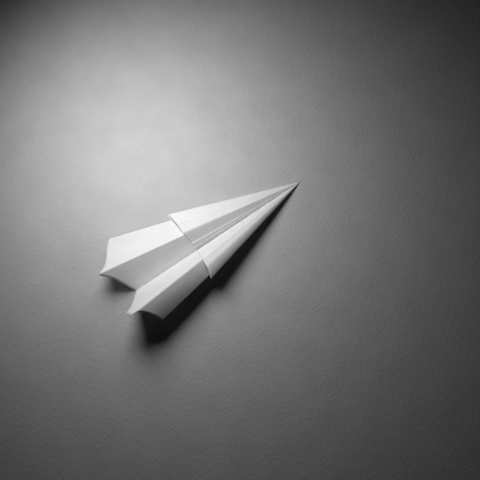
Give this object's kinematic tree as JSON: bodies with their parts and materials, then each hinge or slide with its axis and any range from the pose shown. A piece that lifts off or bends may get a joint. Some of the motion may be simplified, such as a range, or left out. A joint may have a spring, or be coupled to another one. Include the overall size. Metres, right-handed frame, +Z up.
{
  "type": "paper airplane",
  "caption": "Folded paper dart with a collapsible fuselage, two drooped wings and a stepped double layer of paper over its front.",
  "frame": {"origin": "under the middle of the bounding box, on the surface that the plane stands on", "axes": "+X from tail to nose along the centre crease, +Y towards the left wing, +Z up"},
  "size_m": [0.2416, 0.1028, 0.0563],
  "materials": {
    "paper": "matt uncoated white paper"
  },
  "bodies": {
    "left_fuselage": {"left_body_panel": "paper", "left_body_lining": "paper", "left_body_sleeve": "paper"},
    "right_fuselage": {"right_body_panel": "paper", "right_body_lining": "paper", "right_body_sleeve": "paper", "right_body_flap": "paper"},
    "left_wing": {"left_wing_panel": "paper", "left_wing_lining": "paper", "left_wing_sleeve": "paper", "left_wing_flap": "paper"},
    "right_wing": {"right_wing_panel": "paper", "right_wing_lining": "paper", "right_wing_sleeve": "paper", "right_wing_flap": "paper"},
    "left_flap": {"left_body_flap": "paper"}
  },
  "joints": [
    {"name": "keel_fold", "type": "hinge", "parent": "left_fuselage", "child": "right_fuselage", "pos_m": [0.12119, -0.01032, 0.00021], "axis": [1, 0, 0], "range_deg": [-50, 50]},
    {"name": "left_wing_fold", "type": "hinge", "parent": "left_fuselage", "child": "left_wing", "pos_m": [0.12119, -0.01011, 0], "axis": [0.9808, -0.1391, -0.1367], "range_deg": [-78, 60]},
    {"name": "right_wing_fold", "type": "hinge", "parent": "right_fuselage", "child": "right_wing", "pos_m": [0.12119, -0.01061, 0.00012], "axis": [-0.9681, -0.0757, 0.2387], "range_deg": [-52, 90]},
    {"name": "left_flap_lift", "type": "hinge", "parent": "left_fuselage", "child": "left_flap", "pos_m": [0.12119, -0.01032, 0.00021], "axis": [-0.9808, 0.1391, 0.1367], "range_deg": [-3.78, 3.5]}
  ],
  "couplings": [
    {"joint": "left_flap_lift", "follows": "keel_fold", "ratio": 0.07}
  ]
}
